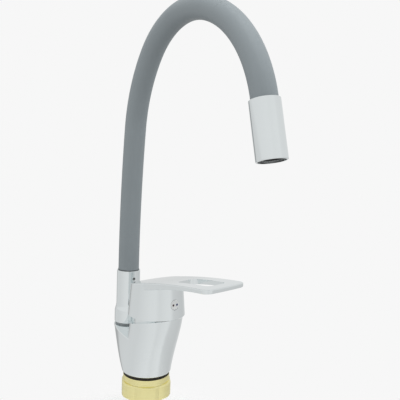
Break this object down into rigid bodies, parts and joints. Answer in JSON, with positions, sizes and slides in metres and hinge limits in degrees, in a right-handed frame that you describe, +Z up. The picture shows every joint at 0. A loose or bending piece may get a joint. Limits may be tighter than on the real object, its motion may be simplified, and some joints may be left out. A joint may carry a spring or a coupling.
{
  "type": "kitchen mixer tap",
  "caption": "Single lever kitchen mixer tap with a flexible silicone covered gooseneck spout, chrome body and brass fixings.",
  "frame": {"origin": "axis of the foot at the underside of the body, where the gasket and the deck come", "axes": "+Z up, -Y to the front, where the lever and the spout's arch point"},
  "size_m": [0.0677, 0.2484, 0.4219],
  "materials": {
    "chrome": "polished",
    "brass": "machined, unplated",
    "steel": "plain",
    "grey_silicone": "satin silicone",
    "black_rubber": "matte",
    "black_plastic": "matte",
    "white_plastic": "matte",
    "disc_white": "polished ceramic",
    "grey_plastic": "gloss",
    "red_paint": "gloss",
    "blue_paint": "gloss"
  },
  "bodies": {
    "body": {"body_casting": "chrome", "base_gasket": "black_rubber", "clamp_collar": "brass", "mounting_nut": "brass", "mounting_shank": "brass", "cartridge_housing": "white_plastic", "cartridge_base": "white_plastic", "cartridge_seals": "black_rubber", "fixed_disc": "disc_white", "cartridge_nut": "brass", "column_o_rings": "black_rubber", "column_clip": "white_plastic", "bearing_ring": "black_plastic"},
    "rotor": {"cartridge_rotor": "white_plastic", "spindle_pin": "steel"},
    "handle": {"lever_handle": "chrome", "spindle": "steel", "grub_screw": "steel", "index_plug": "grey_plastic", "hot_mark": "red_paint", "cold_mark": "blue_paint"},
    "disc": {"disc_carrier": "white_plastic", "moving_disc": "disc_white"},
    "spout": {"spout_column": "chrome", "column_screw": "steel", "sleeve_ring": "black_plastic", "lower_ferrule": "brass", "gooseneck_riser": "steel", "gooseneck_flex": "steel", "silicone_sleeve": "grey_silicone", "water_hose": "white_plastic"},
    "outlet": {"gooseneck_end": "steel", "upper_ferrule": "brass", "outlet_head": "chrome", "aerator_housing": "black_plastic", "aerator_insert": "black_plastic", "aerator_mesh": "steel", "aerator_washer": "black_rubber"}
  },
  "joints": [
    {"name": "spout_swivel", "type": "hinge", "parent": "body", "child": "spout", "pos_m": [0, 0.043, 0.05], "axis": [0, 0, 1], "continuous": true},
    {"name": "spout_bend", "type": "hinge", "parent": "spout", "child": "outlet", "pos_m": [0, -0.13421, 0.32736], "axis": [1, 0, 0], "range_deg": [-20, 20], "deforming": ["gooseneck_flex", "silicone_sleeve", "water_hose"]},
    {"name": "lever_turn", "type": "hinge", "parent": "body", "child": "rotor", "pos_m": [0, -0.017, 0.062], "axis": [0, 0, 1], "range_deg": [-54, 36]},
    {"name": "lever_lift", "type": "hinge", "parent": "rotor", "child": "handle", "pos_m": [0, -0.017, 0.062], "axis": [-0.9877, -0.1564, 0], "range_deg": [0, 20]},
    {"name": "disc_slide", "type": "slide", "parent": "rotor", "child": "disc", "axis": [0.1564, -0.9877, 0], "range_m": [0, 0.0034]}
  ],
  "couplings": [
    {"joint": "disc_slide", "follows": "lever_lift", "m_per_rad": 0.0095}
  ]
}
